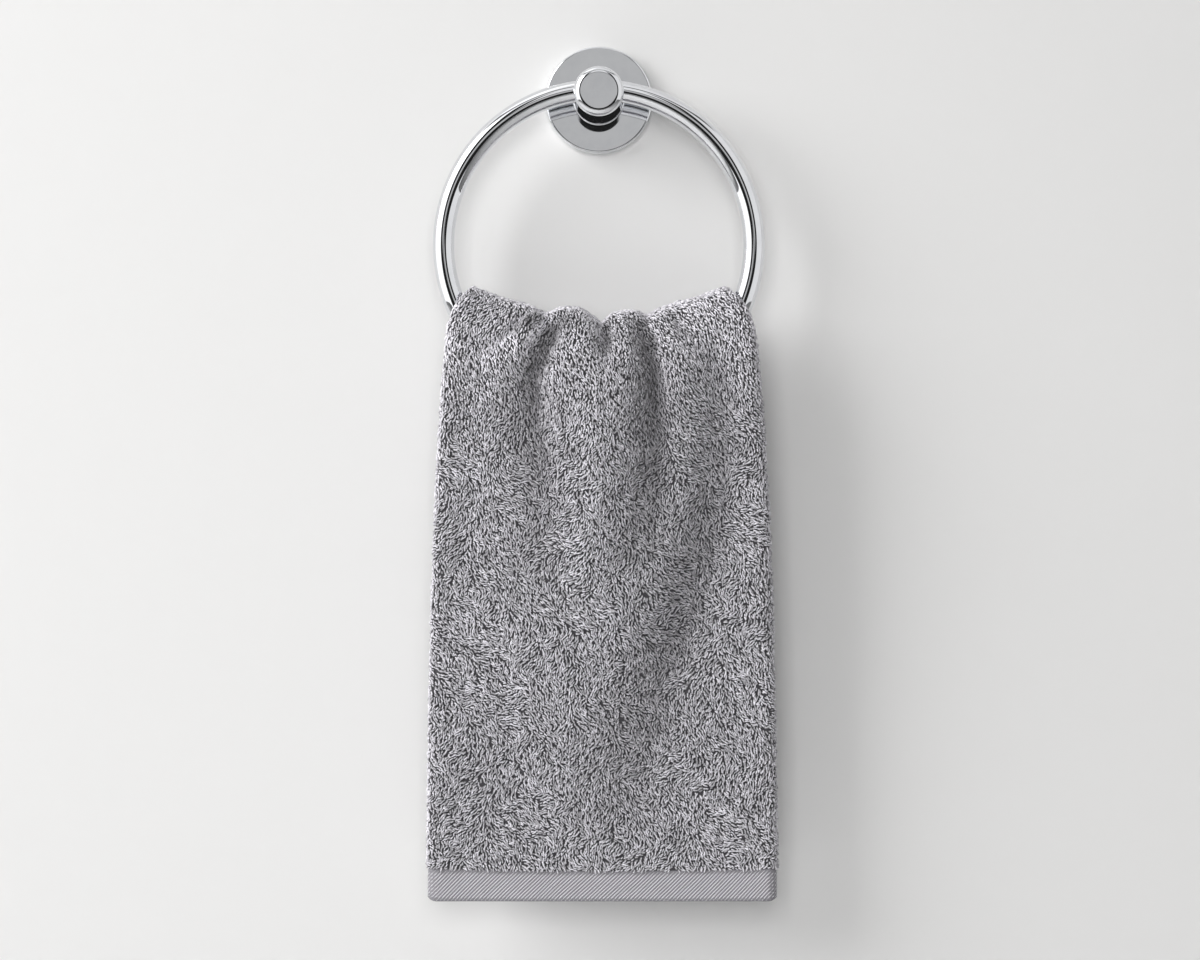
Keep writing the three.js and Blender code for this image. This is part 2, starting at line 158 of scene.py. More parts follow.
BACK_CREASES = {
    "left": [(-131, -30, 1, 8), (-172, -34, 2.8, 11), (-247, -38, 0, 14)],
    "middle": [(-131, 2, 2.8, 7), (-172, 4, 3, 10), (-287, 8, 0, 15)],
    "right": [(-131, 32, 1, 8), (-187, 40, 2.4, 12), (-267, 44, 0, 14)],
}

# How wide each wall of a crease is, against its width above; the other creases are even.
CREASE_WALLS = {
    "left_wing": (1.0, 0.75),
    "left": (1.4, 0.75),
    "middle": (1.1, 0.75),
    "right": (1.35, 0.85),
    "long": (1.3, 0.9),
}

# Pile loops, mm: each is a grain with two three-sided sections between two points.
LOOP = {"length": 2.4, "half_width": 0.55}
LOOP_SPACING = {"front": 1.04, "crest": 1.04, "back": 1.35}
LOOP_TIPS = ((-0.22, 0.0), (1.0, 0.42))
LOOP_SECTIONS = (
    {"along": 0.08, "low": 0.08, "high": 0.94, "half_width": 1.0, "shift": 0.2},
    {"along": 0.74, "low": 0.22, "high": 1.0, "half_width": 0.9, "shift": -0.18},
)

# Bands of pile from hem to hem, with the height in mm where each front and back band ends.
FRONT_BANDS = {"front_hem": -395, "front_low": -320, "front_middle": -245, "front_upper": -172}
CREST_BAND_END = 0.9
BACK_BANDS = {"back_upper": -235, "back_middle": -340}
# Flap columns beside each fold that carry loops, and fold columns on the crest that don't.
LOOPED_FLAP_COLUMNS = 3
BARE_CREST_COLUMNS = 3

# How the pile's nap turns: turns and ruffle in radians, sizes in metres.
NAP = {
    "Swirl": 6.0,
    "Swirl size": 0.035,
    "Clump size": 0.0065,
    "Clump turn": 1.5,
    "Ruffle": 0.45,
}
# More loops to a square metre than the spacing ever lets in.
MOST_LOOPS = 2.4e6
# How far the clumps' borders wander, metres.
CLUMP_BEND = (0.006, 0.006, 0.006)
# The nap lies straighter near the top: start and over in mm, and the most it straightens.
CALM_ABOVE = (-225.0, 75.0)
MOST_CALM = 0.75
# Painted shade darkens the pile fully in a crease this deep, mm, and painted light makes it a
# little pale on a ridge.
FULL_PAINTED_SHADE_DEPTH = 10.0
RIDGE_PAINTED_LIGHT = -0.35
# That painted shade and light start just off the crest, by run.
PAINTED_SHADE_STARTS = (0.0, 0.03)
# The heights in metres between which painted light makes the pile paler.
PAINTED_TOP_LIGHT_AT = (-0.19, -0.122)
# The least height of a loop and what it has beyond the cloth's pile, mm.
LEAST_PILE = 0.3
PILE_OVERLAP = 0.25

# Twill and stitches of the hems, mm.
TWILL = {"pitch": 2.17, "width": 0.95, "rise": 0.38, "pick": 0.83, "ends": 4.5, "inset": 0.4}
STITCH = {"pitch": 2.17, "length": 1.9, "radius": 0.2, "from_edge": 0.05, "from_side": 3.0}
# How much of its full height and width a rib keeps at its ends.
RIB_TAPER = 0.35

# Colours, linear.
CHROME_CLEAR = (0.80, 0.81, 0.83, 1)
CHROME_HAZED = (0.74, 0.75, 0.775, 1)
PILE_GREY = (0.8, 0.785, 0.838)
GROUND_GREY = (0.56, 0.545, 0.595)
TWILL_GREY = (0.9, 0.885, 0.94)
THREAD_GREY = (0.34, 0.33, 0.36)
WALL_GREY = (0.86, 0.86, 0.86, 1)
FLOOR_GREY = (0.82, 0.82, 0.82, 1)
SKY_GREY = (0.83, 0.83, 0.83, 1)
LAMP_COLOUR = (1.0, 0.995, 0.985)

# Camera, stage and lamps, metres; the lens in mm.
CAMERA = {"lens": 103.4, "place": (0.0007, -2.041, -0.2242)}
STAGE = {"half_width": 4.0, "wall_y": 0.0006, "floor_z": -1.3, "top": 3.0, "from": -5.0, "to": 3.0}
LAMP_AIM = (0.0, -0.04, -0.25)
LAMPS = {
    "key": {"place": (-2.3, -1.45, 1.1), "size": 1.9, "power": 67.0, "mirrored": True},
    "front_fill": {"place": (-0.15, -2.6, 0.1), "size": 1.0, "power": 22.5, "mirrored": False},
}


# Small tools.


class Link:
    """An output socket in a node tree. Arithmetic on it adds Math nodes to the tree."""

    def __init__(self, tree, socket):
        self.tree = tree
        self.socket = socket

    def math(self, operation, *values):
        return self.tree.node("ShaderNodeMath", {"operation": operation}, dict(enumerate(values)))

    def __add__(self, other):
        return self.math("ADD", self, other)

    def __radd__(self, other):
        return self.math("ADD", other, self)

    def __sub__(self, other):
        return self.math("SUBTRACT", self, other)

    def __rsub__(self, other):
        return self.math("SUBTRACT", other, self)

    def __mul__(self, other):
        return self.math("MULTIPLY", self, other)

    def __rmul__(self, other):
        return self.math("MULTIPLY", other, self)

    def __truediv__(self, other):
        return self.math("DIVIDE", self, other)

    def __rtruediv__(self, other):
        return self.math("DIVIDE", other, self)

    def wave(self):
        """A sine of the value in turns, from 0 to 1."""
        return 0.5 + 0.5 * self.math("SINE", self * (2 * math.pi))

    def step(self, low, high):
        """0 below low and 1 above high, eased between them."""
        return self.tree.node(
            "ShaderNodeMapRange",
            {"interpolation_type": "SMOOTHSTEP"},
            {"Value": self, "From Min": low, "From Max": high},
        )

    def band(self, rising, falling):
        """1 between two eased edges and 0 outside them."""
        return self.step(*rising) * (1 - self.step(*falling))


class Tree:
    """A node tree under construction."""

    def __init__(self, tree):
        self.tree = tree
        tree.nodes.clear()

    def node(self, kind, settings=None, sockets=None, output=0):
        """Adds a node: its settings first, then values or links for its sockets."""
        made = self.tree.nodes.new(kind)
        for key, value in (settings or {}).items():
            setattr(made, key, value)
        for key, value in (sockets or {}).items():
            slot = made.inputs[key]
            if isinstance(value, Link):
                self.tree.links.new(value.socket, slot)
            else:
                slot.default_value = value
        if output is None:
            return made
        return Link(self, made.outputs[output])

    def mix(self, share, first, second):
        """A colour between two colours."""
        sockets = {0: share, 6: first, 7: second}
        return self.node("ShaderNodeMix", {"data_type": "RGBA"}, sockets, output=2)

    def tint(self, colour, strength):
        """A colour times a number."""
        sockets = {0: colour, "Scale": strength}
        return self.node("ShaderNodeVectorMath", {"operation": "SCALE"}, sockets)

    def scaled_sum(self, first, second, third):
        """A vector times another, plus a third."""
        sockets = {0: first, 1: second, 2: third}
        return self.node("ShaderNodeVectorMath", {"operation": "MULTIPLY_ADD"}, sockets)

    def parts(self, vector):
        """The three components of a vector."""
        split = self.node("ShaderNodeSeparateXYZ", {}, {0: vector}, output=None)
        return [Link(self, socket) for socket in split.outputs]

    def place(self):
        """The place of a shaded point in its object."""
        return self.node("ShaderNodeTexCoord", output="Object")

    def noise(self, place, scale, detail, roughness=0.5, output=0):
        sockets = {"Vector": place, "Scale": scale, "Detail": detail, "Roughness": roughness}
        return self.node("ShaderNodeTexNoise", {}, sockets, output)

    def bump(self, height, strength, distance):
        sockets = {"Height": height, "Strength": strength, "Distance": distance}
        return self.node("ShaderNodeBump", {}, sockets)

    def stored(self, name, output="Fac"):
        """A value that the mesh carries, read by a material."""
        return self.node("ShaderNodeAttribute", {"attribute_name": name}, output=output)

    def carried(self, name, kind="FLOAT"):
        """A value that the mesh carries, read by a Geometry Nodes tree."""
        return self.node("GeometryNodeInputNamedAttribute", {"data_type": kind}, {"Name": name})

    def random(self, low, high, seed):
        sockets = {2: low, 3: high, "Seed": seed}
        return self.node("FunctionNodeRandomValue", {}, sockets, output=1)


def new_material(name):
    material = bpy.data.materials.new(name)
    material.use_nodes = True
    return material, Tree(material.node_tree)


def finished(material, tree, sockets):
    shader = tree.node("ShaderNodeBsdfPrincipled", {}, sockets)
    tree.node("ShaderNodeOutputMaterial", {}, {"Surface": shader}, output=None)
    return material


def new_piece(name, points, faces, material):
    mesh = bpy.data.meshes.new(name)
    mesh.from_pydata([tuple(p) for p in points], [], faces)
    mesh.materials.append(material)
    mesh.shade_smooth()
    mesh.update()
    piece = bpy.data.objects.new(name, mesh)
    bpy.context.scene.collection.objects.link(piece)
    return piece


def made_plain(piece, name):
    """The piece with its modifiers worked in, as a plain mesh object; the first one goes."""
    graph = bpy.context.evaluated_depsgraph_get()
    mesh = bpy.data.meshes.new_from_object(piece.evaluated_get(graph))
    mesh.name = name
    plain = bpy.data.objects.new(name, mesh)
    bpy.context.scene.collection.objects.link(plain)
    bpy.data.objects.remove(piece)
    return plain


def carry(piece, name, values, kind="FLOAT"):
    """Gives each of the piece's points a number or a vector of its own."""
    layer = piece.data.attributes.new(name, kind, "POINT")
    layer.data.foreach_set("value" if kind == "FLOAT" else "vector", np.ravel(values))


def node_modifier(piece, tree, values):
    """Adds a Geometry Nodes modifier and sets its inputs by their identifiers."""
    modifier = piece.modifiers.new("made", "NODES")
    modifier.node_group = tree
    names = {
        item.name: item.identifier
        for item in tree.interface.items_tree
        if item.item_type == "SOCKET" and item.in_out == "INPUT"
    }
    for name, value in values.items():
        modifier[names[name]] = value


# The towel's shape.


def smooth(t):
    t = np.clip(t, 0.0, 1.0)
    return t * t * (3 - 2 * t)


def ease_in(value, start, over):
    return smooth((value - start) / over)


def lerp(a, b, t):
    return a + (b - a) * t


def read_table(rows, at, column):
    """One column of a table whose rows run down in their first column, without overshooting."""
    table = np.array(rows[::-1], float)
    keys, values = table[:, 0], table[:, column]
    slopes = np.diff(values) / np.diff(keys)
    before, after = slopes[:-1], slopes[1:]
    total = before + after
    even = before * after > 0
    middle = np.where(even, 2 * before * after / np.where(even, total, 1), 0)
    tangents = np.concatenate([[0], middle, [0]])
    at = np.clip(at, keys[0], keys[-1])
    i = np.clip(np.searchsorted(keys, at) - 1, 0, len(keys) - 2)
    step = keys[i + 1] - keys[i]
    t = (at - keys[i]) / step
    bend = step * t * (1 - t) * (tangents[i] * (1 - t) - tangents[i + 1] * t)
    return lerp(values[i], values[i + 1], t * t * (3 - 2 * t)) + bend


def crease_depth(creases, x, z):
    depth = 0.0
    for name, rows in creases.items():
        left_wall, right_wall = CREASE_WALLS.get(name, (1.0, 1.0))
        across = (x - read_table(rows, z, 1)) / read_table(rows, z, 3)
        across = across / np.where(across < 0, left_wall, right_wall)
        depth = depth + read_table(rows, z, 2) * np.exp(-across * across)
    return depth


def panel_creases(front, x, z):
    return np.where(front, crease_depth(FRONT_CREASES, x, z), crease_depth(BACK_CREASES, x, z))


CREST_RADIUS = RING["tube"] + RING_PASS + PILE_THICKNESS / 2


def station(run):
    """The turn from the crest, in radians, and the share of the way down to the hem."""
    size = np.abs(run)
    turn = np.minimum(1.0, size / CREST_RUN) * QUARTER
    down = np.maximum(0.0, size - CREST_RUN) / (1 - CREST_RUN)
    return turn, down


def crest_height(x):
    share = np.minimum(1.0, np.abs(x) / CREST["half_width"])
    return CREST["middle"] + CREST["rise"] * share ** CREST["power"]


def side_at(spread, drop, reach, pinch_length):
    start, gain, over = spread
    full = start + gain * (1 - np.exp(-drop / over))
    return lerp(PINCHED_HALF_WIDTH, full, smooth(reach / pinch_length))


def side_spread(turn, down):
    opened = lerp(LAYER_SPREAD["crest"], LAYER_SPREAD["side"], ease_in(turn, *SIDE_OPENS))
    return lerp(opened, LAYER_SPREAD["hem"], down)


def inner_place(across, run):
    turn, down = station(run)
    side = np.where(run < 0, -1.0, 1.0)
    roll = (side_spread(turn, down) + PILE_THICKNESS) / 2
    top = crest_height(across * CREST["half_width"])
    spring = top - CREST_RADIUS
    back_hem = BACK_HEM_MIDDLE_Z + 2 * (top - CREST["middle"])
    drop = down * (spring - np.where(side < 0, FRONT_HEM_Z, back_hem))
    reach = CREST_RADIUS * turn + drop
    left = side_at(SPREAD_LEFT, drop, reach, PINCH_LENGTH["inner"]) - roll
    right = side_at(SPREAD_RIGHT, drop, reach, PINCH_LENGTH["inner"]) - roll
    close = ease_in(drop, PANELS_CLOSE["from"], PANELS_CLOSE["over"])
    stand_off = lerp(CREST_RADIUS, PANELS_CLOSE["half_space"], close)
    x = (right - left + across * (right + left)) / 2
    y = RING["y"] + side * stand_off * np.sin(turn)
    z = spring + CREST_RADIUS * np.cos(turn) - drop
    return np.stack(np.broadcast_arrays(x, y, z), axis=-1)


def unit(vectors):
    return vectors / np.maximum(np.linalg.norm(vectors, axis=-1, keepdims=True), 1e-12)


def outward(across, run):
    step = 1e-4
    along_x = inner_place(across + step, run) - inner_place(across - step, run)
    along_run = inner_place(across, run + step) - inner_place(across, run - step)
    return unit(np.cross(along_x, along_run))


def layer_spread(across, place, run):
    turn, down = station(run)
    x, z = place[..., 0], place[..., 2]
    front = run < 0
    top_line = read_table(TOP_LINE, x, 1) - PILE_THICKNESS / 2
    top_rise = top_line - crest_height(x) - LAYER_SPACING
    loft = np.where(front, read_table(FRONT_LOFT, z, 1), read_table(BACK_LOFT, z, 1))
    panel_rise = lerp(loft, WING_RISE, ease_in(np.abs(across), *MIDDLE_LOFTS))
    rise = lerp(top_rise, panel_rise, smooth((CREST["middle"] - z) / TOP_FADES_OVER))
    crease = panel_creases(front, x, z) * ease_in(turn, *CREASE_STARTS)
    spread = LAYER_SPACING + np.maximum(0.0, rise - crease)
    return lerp(spread, side_spread(turn, down), ease_in(np.abs(across), *EDGE_BLENDS))


def outer_shift(across, run):
    turn, down = station(run)
    reach = CREST_RADIUS * turn
    shifts = []
    for spread in (SPREAD_LEFT, SPREAD_RIGHT):
        outer = side_at(spread, 0.0, reach, PINCH_LENGTH["outer"])
        shifts.append(outer - side_at(spread, 0.0, reach, PINCH_LENGTH["inner"]))
    return np.where(down > 0, 0.0, across * np.where(across < 0, *shifts))


def ring_middle(places):
    """The points of the ring's centre line nearest to some places."""
    centre = np.array([0.0, RING["y"], RING["z"]])
    return unit((places - centre) * (1, 0, 1)) * RING["radius"] + centre


def off_ring(places, padding):
    centre = ring_middle(places)
    away = places - centre
    length = np.linalg.norm(away, axis=-1, keepdims=True)
    least = RING["tube"] + np.asarray(padding)
    if least.ndim:
        least = least[..., None]
    return np.where(length < least, centre + away / length * least, places)


def cloth_grid(columns, runs):
    """Middle places of the cloth. A column has its share across and its turn around the fold,
    from 0 on a flap to pi on the face."""
    across, angle = (np.array(c)[None, :] for c in zip(*columns))
    run = runs[:, None]
    turn, down = station(run)
    inner = inner_place(across, run)
    out = outward(across, run)
    spread = layer_spread(across, inner, run)
    shift = np.zeros_like(inner)
    shift[..., 0] = outer_shift(across, run)
    power = lerp(FOLD_SQUARE, 1.0, ease_in(turn, *FOLD_ROUNDS))
    share = (1 - np.sign(np.cos(angle)) * np.abs(np.cos(angle)) ** power) / 2
    sideways = unit(inner - inner_place(across * 0.99, run))
    bulge = spread / 2 * np.maximum(0, np.sin(angle)) ** power
    place = inner + out * (spread * share)[..., None] + sideways * bulge[..., None]
    place = place + shift * share[..., None]
    end = 1 - (1 - np.abs(run)) * PANEL_LENGTH / (1 - CREST_RUN) / HEM_CORNER["from_end"]
    place[..., 2] += HEM_CORNER["lift"] * np.clip(end, 0, 1) ** 2 * np.sin(angle) ** 2
    first_layer = SEAT_GAP + PRESSED_THICKNESS / 2
    between = (PRESSED_THICKNESS + LAYERS_PRESSED_APART) * ease_in(turn, *LAYERS_PART)
    return off_ring(place, first_layer + between * share)


def cloth_columns(face, fold, flap):
    """Columns across the cut: selvedge, flap, fold, face, fold, flap and selvedge."""
    half = [((i + 0.5) / face, math.pi) for i in range(face)]
    half += [(1.0, math.pi * (1 - i / fold)) for i in range(fold)]
    half += [(lerp(1.0, SELVEDGE_SHARE, (i / flap) ** FLAP_CROWDING), 0.0) for i in range(flap + 1)]
    return [(-across, angle) for across, angle in reversed(half)] + half


def panel_runs(count, hem_rows):
    hem_top = 1 - (1 - CREST_RUN) * HEM_HEIGHT / PANEL_LENGTH
    step = (1 - CREST_RUN) * HEM_STEP / PANEL_LENGTH
    share = np.linspace(0, 1, count + 1)
    crowded = lerp(share, share * share, PANEL_CROWDING)
    runs = list(lerp(CREST_RUN, hem_top - 2 * step, crowded))
    return runs + [hem_top, hem_top + step / 2] + list(np.linspace(hem_top + step, 1.0, hem_rows))


def cloth_runs(front, crest, back, hem):
    """Runs of the rows, from -1 at the front hem through 0 on the crest to 1 at the back hem."""
    front_runs = [-run for run in reversed(panel_runs(front, hem))]
    crest_runs = list(np.linspace(-CREST_RUN, CREST_RUN, crest + 1)[1:-1])
    return np.array(front_runs + crest_runs + panel_runs(back, hem))


def cloth_thickness(columns, runs, places):
    """Full thickness of the cloth with its pile, and 1 where it is a hem."""
    hem_edge = 1 - (1 - CREST_RUN) * (HEM_HEIGHT - HEM_STEP / 2) / PANEL_LENGTH
    hem = (np.abs(runs) > hem_edge)[:, None] * np.ones(len(columns))[None, :]
    from_ring = np.linalg.norm(places - ring_middle(places), axis=-1) - RING["tube"]
    pile = lerp(PRESSED_THICKNESS, PILE_THICKNESS, ease_in(from_ring, *PRESSED_NEAR))
    return np.where(hem > 0, HEM_THICKNESS, pile), hem


def grid_normals(places):
    lengthways = np.gradient(places, axis=0)
    sideways = np.gradient(places, axis=1)
    return unit(np.cross(sideways, lengthways))


def grid_lengths(places):
    """Distances along the cloth in both directions, as the cut lies flat."""
    across = np.linalg.norm(np.diff(places, axis=1), axis=-1).mean(axis=0)
    along = np.linalg.norm(np.diff(places, axis=0), axis=-1).mean(axis=1)
    return [np.concatenate([[0], np.cumsum(steps)]) for steps in (across, along)]


def closed_sheet(places, normals, thickness):
    """A grid given its thickness, as points and faces of one closed mesh."""
    along, across = places.shape[:2]
    outer = off_ring(places + normals * thickness[..., None] / 2, SEAT_GAP)
    inner = off_ring(places - normals * thickness[..., None] / 2, SEAT_GAP)
    points = np.concatenate([outer.reshape(-1, 3), inner.reshape(-1, 3)]) * MM
    ids = np.arange(2 * along * across).reshape(2, along, across)
    a, b = ids

    def quads(p, q, r, s):
        return np.stack([p, q, r, s], axis=-1).reshape(-1, 4)

    faces = [
        quads(a[:-1, :-1], a[:-1, 1:], a[1:, 1:], a[1:, :-1]),
        quads(b[:-1, :-1], b[1:, :-1], b[1:, 1:], b[:-1, 1:]),
        quads(a[0, :-1], b[0, :-1], b[0, 1:], a[0, 1:]),
        quads(a[-1, :-1], a[-1, 1:], b[-1, 1:], b[-1, :-1]),
        quads(a[:-1, 0], a[1:, 0], b[1:, 0], b[:-1, 0]),
        quads(a[:-1, -1], b[:-1, -1], b[1:, -1], a[1:, -1]),
    ]
    return points, np.concatenate(faces).tolist()


# Finishes.


def chrome_finish():
    material, tree = new_material("mirror_chrome")
    place = tree.place()
    haze = tree.noise(place, 60.0, 3.0, roughness=0.6)
    specks = tree.noise(place, 900.0, 2.0)
    roughness = 0.03 + 0.03 * haze.step(0.45, 0.75) + 0.03 * specks.step(0.62, 0.78)
    colour = tree.mix(haze.step(0.3, 0.8), CHROME_CLEAR, CHROME_HAZED)
    sockets = {"Base Color": colour, "Metallic": 1.0, "Roughness": roughness}
    return finished(material, tree, sockets)


def pile_finish():
    """Loops with painted shade at the foot and a painted highlight along the top, each with its own
    tone, with painted shade in creases, painted light on ridges and painted light near the top.
    """
    material, tree = new_material("terry_pile")
    place = tree.place()
    patches = tree.noise(place, 30.0, 2.0)
    fuzz = tree.noise(place, 2600.0, 2.0)
    height, painted_fold_shade, tone = (tree.stored(name) for name in ("height", "painted_fold_shade", "tone"))
    # Painted shade at each loop's foot and a painted highlight along its top, by its height;
    # painted shade in creases and painted light on ridges.
    level = (0.05 + 0.95 * height.step(0.2, 0.9)) * (1.0 - 0.62 * painted_fold_shade)
    level = level * (0.62 + 0.76 * tone) * (0.95 + 0.1 * patches) * (0.9 + 0.2 * fuzz)
    # Painted light: the pile is made paler near the top, where light from above falls.
    painted_top_light = tree.parts(place)[2].step(*PAINTED_TOP_LIGHT_AT)
    sockets = {
        "Base Color": tree.tint(PILE_GREY, level * (1.0 + 0.22 * painted_top_light)),
        "Roughness": 0.95,
        "Specular IOR Level": 0.2,
        "Sheen Weight": 0.35,
        "Sheen Roughness": 0.4,
        "Normal": tree.bump(fuzz, 0.3, 0.0002),
    }
    return finished(material, tree, sockets)


def woven(tree, cut_place):
    """Where a point lies on the cut in mm, and the picks and fibres of the weave there."""
    u, v = (part * 1000.0 for part in tree.parts(cut_place)[:2])
    place = tree.place()
    soft = tree.noise(place, 60.0, 3.0)
    fibre = tree.noise(place, 2200.0, 3.0)
    pick = ((u - v + (soft - 0.5) * 0.3) / TWILL["pick"]).wave()
    return place, u, v, soft, fibre, pick


def cloth_finish(hem_low, hem_high, width, flap):
    """The ground cloth under the loops, kept dark as painted shade between them, the low pile of
    the folded-in flaps, and the flat weave of the two hems on its cut."""
    material, tree = new_material("towel_ground")
    cut_place = tree.node("ShaderNodeUVMap", {"uv_map": "cut"}, output="UV")
    place, u, v, soft, fibre, pick = woven(tree, cut_place)
    in_hem = 1.0 - v.band((hem_low - 0.4, hem_low), (hem_high, hem_high + 0.4))
    ends = TWILL["ends"]
    ribbed = u.band((ends - 0.5, ends), (width - ends, width - ends + 0.5))
    # Painted shade: where the ribs lie, the cloth between them is made darker than at the hem's
    # plain ends.
    hem_level = 0.76 - 0.36 * ribbed + 0.14 * pick + 0.1 * fibre
    nub = tree.node("ShaderNodeTexVoronoi", {"feature": "F1"}, {"Vector": place, "Scale": 750.0})
    nub = 1.0 - nub.step(0.15, 0.6)
    on_flap = 1.0 - u.band((flap - 2.0, flap), (width - flap, width - flap + 2.0))
    # Painted shade: the ground cloth between the loops is far darker than its yarn, so the gaps
    # read as shadowed cracks.
    ground_level = 0.12 + 0.06 * fibre + on_flap * (0.1 + 0.5 * nub)
    level = in_hem * hem_level + (1.0 - in_hem) * ground_level
    relief = pick * 0.6 + fibre * 0.4 + nub * on_flap * (1.0 - in_hem)
    sockets = {
        "Base Color": tree.tint(GROUND_GREY, level * (0.94 + 0.12 * soft)),
        "Roughness": 0.9,
        "Specular IOR Level": 0.25,
        "Sheen Weight": 0.15,
        "Normal": tree.bump(relief, 0.5, 0.0003),
    }
    return finished(material, tree, sockets)


def twill_finish():
    """Raised twill ribs, dotted by the picks that cross them."""
    material, tree = new_material("hem_twill")
    soft, fibre, pick = woven(tree, tree.stored("flat_place", "Vector"))[3:]
    level = (0.6 + 0.4 * pick) * (0.9 + 0.2 * fibre) * (0.95 + 0.1 * soft)
    sockets = {
        "Base Color": tree.tint(TWILL_GREY, level),
        "Roughness": 0.85,
        "Specular IOR Level": 0.3,
        "Sheen Weight": 0.15,
        "Normal": tree.bump(pick * 0.7 + fibre * 0.3, 0.6, 0.0003),
    }
    return finished(material, tree, sockets)


def thread_finish():
    material, tree = new_material("hem_thread")
    place = tree.place()
    fibre = tree.noise(place, 1800.0, 2.0)
    sockets = {
        "Base Color": tree.tint(THREAD_GREY, 0.8 + 0.4 * fibre),
        "Roughness": 0.85,
        "Sheen Weight": 0.15,
        "Normal": tree.bump(fibre, 0.4, 0.0002),
    }
    return finished(material, tree, sockets)


# Chrome fitting.


def facing_out(piece):
    """The closed piece with all its faces turned outward."""
    faces = bmesh.new()
    faces.from_mesh(piece.data)
    bmesh.ops.recalc_face_normals(faces, faces=faces.faces)
    faces.to_mesh(piece.data)
    faces.free()
    return piece


def arc(centre_radius, centre_y, radius, start, end, steps):
    angles = np.linspace(start, end, steps + 1)
    return [(centre_radius + radius * math.cos(a), centre_y + radius * math.sin(a)) for a in angles]


def rounded_front(radius, y, edge, steps):
    """The part of a profile from the axis out over a flat front and its rounded edge."""
    flat = [(0, y), (radius - edge - FLAT_RIM, y)]
    return flat + arc(radius - edge, y + edge, edge, -QUARTER, 0, steps)


def turned(name, profile, segments, material):
    """A closed piece turned about the Y axis from (radius, y) in mm; its ends lie on the axis."""
    points = [(0.0, profile[0][1] * MM, 0.0)]
    for radius, y in profile[1:-1]:
        for k in range(segments):
            angle = 2 * math.pi * k / segments
            points.append((radius * math.cos(angle) * MM, y * MM, radius * math.sin(angle) * MM))
    points.append((0.0, profile[-1][1] * MM, 0.0))
    faces = []
    rings = len(profile) - 2
    for k in range(segments):
        n = (k + 1) % segments
        faces.append((0, 1 + k, 1 + n))
        for r in range(rings - 1):
            a, b = 1 + r * segments, 1 + (r + 1) * segments
            faces.append((a + k, b + k, b + n, a + n))
        last = 1 + (rings - 1) * segments
        faces.append((last + n, last + k, len(points) - 1))
    return facing_out(new_piece(name, points, faces, material))


def torus(name, tube, around, section, material):
    """A torus on the ring's centre line."""
    points, faces = [], []
    for i in range(around):
        a = 2 * math.pi * i / around
        for j in range(section):
            b = 2 * math.pi * j / section
            r = RING["radius"] + tube * math.cos(b)
            y, z = RING["y"] + tube * math.sin(b), RING["z"] + r * math.sin(a)
            points.append((r * math.cos(a) * MM, y * MM, z * MM))
            n, m = (i + 1) % around, (j + 1) % section
            faces.append((i * section + j, n * section + j, n * section + m, i * section + m))
    return facing_out(new_piece(name, points, faces, material))


def sharpened(piece):
    """The piece, with shading that breaks at its sharp edges."""
    piece.data.set_sharp_from_angle(angle=math.radians(SHARP_EDGE_DEGREES))
    return piece


def make_flange(chrome):
    radius, bevel = FLANGE["radius"], FLANGE["back_edge"]
    front = rounded_front(radius, -FLANGE["depth"], FLANGE["edge"], 8)
    profile = [*front, (radius, -bevel), (radius - bevel, 0), (0, 0)]
    return sharpened(turned("flange_disc", profile, 160, chrome))


def make_post(chrome):
    """The post, flared where it meets the flange and bored through for the ring."""
    radius, fillet, back = POST["radius"], POST["fillet"], -POST["back"]
    front = rounded_front(radius, -POST["front"], POST["edge"], 14)
    flare = arc(radius + fillet, back - fillet, fillet, math.pi, QUARTER, 5)
    blank = turned("post_blank", [*front, *flare, (0, back)], 128, chrome)
    bore = torus("bore_cutter", RING["tube"] + PIECE_GAP, 240, 32, chrome)
    cut = blank.modifiers.new("bore", "BOOLEAN")
    cut.operation = "DIFFERENCE"
    cut.object = bore
    cut.solver = "EXACT"
    post = made_plain(blank, "post_bar")
    bpy.data.objects.remove(bore)
    return sharpened(post)


# Pile and hem pieces.


def pile_loop(material):
    """One loop of yarn leaning along +Y, one unit high."""
    length, wide = LOOP["length"] * MM, LOOP["half_width"] * MM
    (back, back_up), (front, front_up) = LOOP_TIPS
    points = [(0, back * length, back_up)]
    for section in LOOP_SECTIONS:
        y = section["along"] * length
        x = section["shift"] * wide
        side = section["half_width"] * wide
        low, high = section["low"], section["high"]
        points += [(x + side, y, low), (x, y, high), (x - side, y, (low + high) / 2)]
    points.append((0, front * length, front_up))
    faces = []
    for k in range(3):
        n = (k + 1) % 3
        faces += [(0, 1 + k, 1 + n), (1 + k, 4 + k, 4 + n, 1 + n), (7, 4 + n, 4 + k)]
    loop = facing_out(new_piece("pile_loop", points, faces, material))
    carry(loop, "height", [max(0.0, p[2]) for p in points])
    return loop


def open_group(name, inputs):
    """A Geometry Nodes group, with its tree and a link for each input."""
    group = bpy.data.node_groups.new(name, "GeometryNodeTree")
    tree = Tree(group)
    face = group.interface
    face.new_socket("Geometry", in_out="INPUT", socket_type="NodeSocketGeometry")
    for label, kind in inputs.items():
        face.new_socket(label, in_out="INPUT", socket_type="NodeSocket" + kind)
    face.new_socket("Geometry", in_out="OUTPUT", socket_type="NodeSocketGeometry")
    given = tree.node("NodeGroupInput", output=None)
    return group, tree, {s.name: Link(tree, s) for s in given.outputs if s.name}


def close_group(tree, geometry, material):
    done = tree.node("GeometryNodeSetMaterial", {}, {"Geometry": geometry, "Material": material})
    tree.node("NodeGroupOutput", {}, {"Geometry": done}, output=None)


